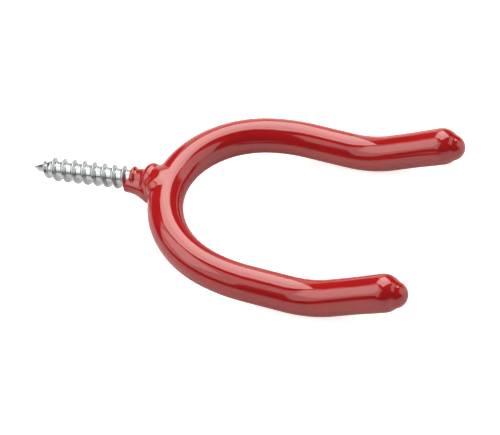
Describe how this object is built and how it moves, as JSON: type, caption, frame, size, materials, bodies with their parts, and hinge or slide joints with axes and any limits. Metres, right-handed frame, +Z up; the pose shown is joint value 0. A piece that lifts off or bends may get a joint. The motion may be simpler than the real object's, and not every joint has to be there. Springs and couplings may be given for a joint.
{
  "type": "screw-in utility hook",
  "caption": "Screw-in utility hook: a lag screw welded to the back of a U-shaped rod fork with upturned prong ends, dipped in red vinyl.",
  "frame": {"origin": "on the screw's axis where the vinyl starts, which is the face of the wall when the hook is driven home", "axes": "+X out of the wall along the screw's axis, towards the prongs; +Y to the side, across the fork; +Z up as the hook is hung, with the prongs drooping from the weld and turned up at their ends"},
  "size_m": [0.1126, 0.0628, 0.018],
  "materials": {
    "zinc_plated_steel": "satin",
    "plain_steel": "satin",
    "weld_metal": "matte",
    "red_vinyl": "gloss"
  },
  "bodies": {
    "root": {"lag_screw": "zinc_plated_steel", "fork_rod": "plain_steel", "weld_bead": "weld_metal", "vinyl_coating": "red_vinyl"}
  },
  "joints": []
}
